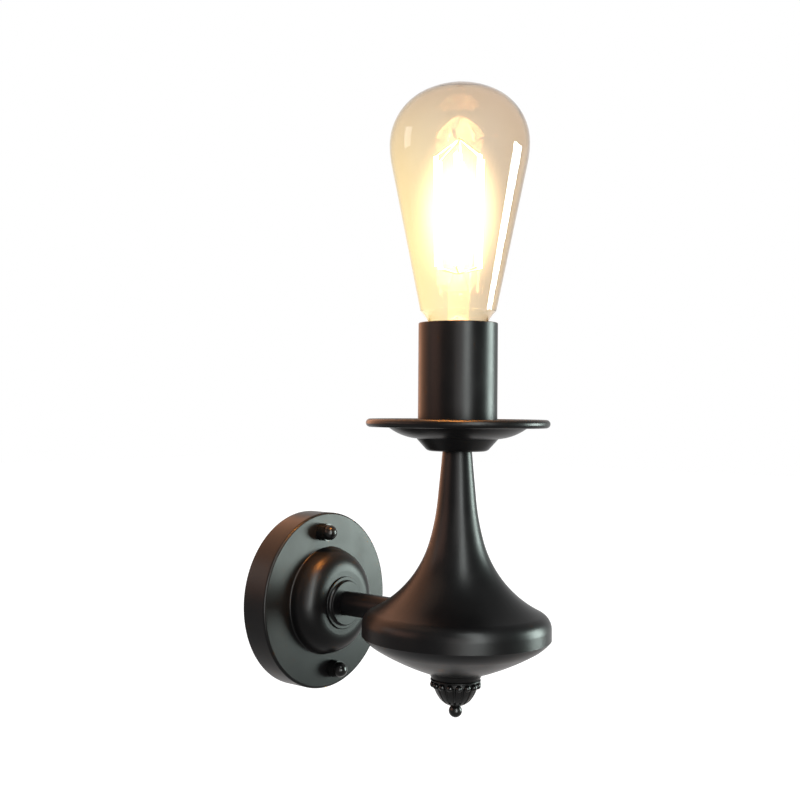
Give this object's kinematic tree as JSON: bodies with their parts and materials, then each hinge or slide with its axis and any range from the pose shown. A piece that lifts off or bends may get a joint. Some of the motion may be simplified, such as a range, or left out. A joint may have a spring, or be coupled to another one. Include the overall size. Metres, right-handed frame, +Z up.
{
  "type": "torch sconce",
  "caption": "Candle-style wall light: round back plate with a raised dome, short arm, trumpet bell with leaf finial, drip tray, plain sleeve and bare pear lamp.",
  "frame": {"origin": "middle of the round back plate, in the plane of the wall", "axes": "+Y into the wall, +Z up, +X to the right of someone who faces the wall; the light stands out along -Y"},
  "size_m": [0.088, 0.1382, 0.2914],
  "materials": {
    "satin_black_paint": "satin",
    "zinc_plated_steel": "satin",
    "brass": "satin",
    "solder": "satin",
    "natural_plastic": "matte",
    "black_phenolic": "matte",
    "black_insulator": "gloss",
    "brown_insulation": "gloss",
    "blue_insulation": "gloss",
    "amber_glass": "gloss",
    "clear_glass": "gloss",
    "filament_coating": "matte"
  },
  "bodies": {
    "root": {"canopy": "satin_black_paint", "arm_collar": "satin_black_paint", "arm_tube": "satin_black_paint", "canopy_lock_washer": "zinc_plated_steel", "canopy_lock_nut": "zinc_plated_steel", "mounting_strap": "zinc_plated_steel", "stud_screws": "zinc_plated_steel", "earth_screw": "brass", "terminal_block": "natural_plastic", "terminal_block_screws": "zinc_plated_steel", "bell_upper": "satin_black_paint", "bell_bottom": "satin_black_paint", "coupling_hub": "zinc_plated_steel", "upper_pipe": "zinc_plated_steel", "lower_pipe": "zinc_plated_steel", "hub_lock_nut": "zinc_plated_steel", "seat_ring": "satin_black_paint", "tray_cup": "satin_black_paint", "drip_tray": "satin_black_paint", "tray_lock_washer": "zinc_plated_steel", "tray_lock_nut": "zinc_plated_steel", "sleeve": "satin_black_paint", "lampholder_base": "black_phenolic", "lampholder_body": "black_phenolic", "screw_shell": "brass", "contact_spring": "zinc_plated_steel", "lampholder_terminals": "brass", "lampholder_terminal_screws": "zinc_plated_steel", "live_lead": "brown_insulation", "neutral_lead": "blue_insulation"},
    "contact": {"centre_contact": "brass"},
    "bulb": {"bulb_glass": "amber_glass", "bulb_cap": "brass", "cap_insulator": "black_insulator", "cap_tip": "solder", "glass_stem": "clear_glass", "filaments": "filament_coating", "filament_supports": "zinc_plated_steel"},
    "cap_nut_top": {"cap_nut_top": "satin_black_paint"},
    "cap_nut_bottom": {"cap_nut_bottom": "satin_black_paint"},
    "finial": {"finial": "satin_black_paint"}
  },
  "joints": [
    {"name": "contact_rise", "type": "slide", "parent": "root", "child": "contact", "axis": [0, 0, 1], "range_m": [0, 0.00242], "deforming": ["contact_spring"]},
    {"name": "bulb_turn", "type": "hinge", "parent": "contact", "child": "bulb", "pos_m": [0, -0.095, 0.11], "axis": [0, 0, 1], "range_deg": [0, 240]},
    {"name": "cap_nut_top_turn", "type": "hinge", "parent": "root", "child": "cap_nut_top", "pos_m": [-0.0042, -0.0143, 0.03467], "axis": [0, -1, 0], "range_deg": [0, 360]},
    {"name": "cap_nut_bottom_turn", "type": "hinge", "parent": "root", "child": "cap_nut_bottom", "pos_m": [0.0042, -0.0143, -0.03467], "axis": [0, -1, 0], "range_deg": [0, 360]},
    {"name": "finial_turn", "type": "hinge", "parent": "root", "child": "finial", "pos_m": [0, -0.095, -0.028], "axis": [0, 0, -1], "range_deg": [0, 360]}
  ],
  "couplings": [
    {"joint": "contact_rise", "follows": "bulb_turn", "m_per_rad": 0.00057757}
  ]
}
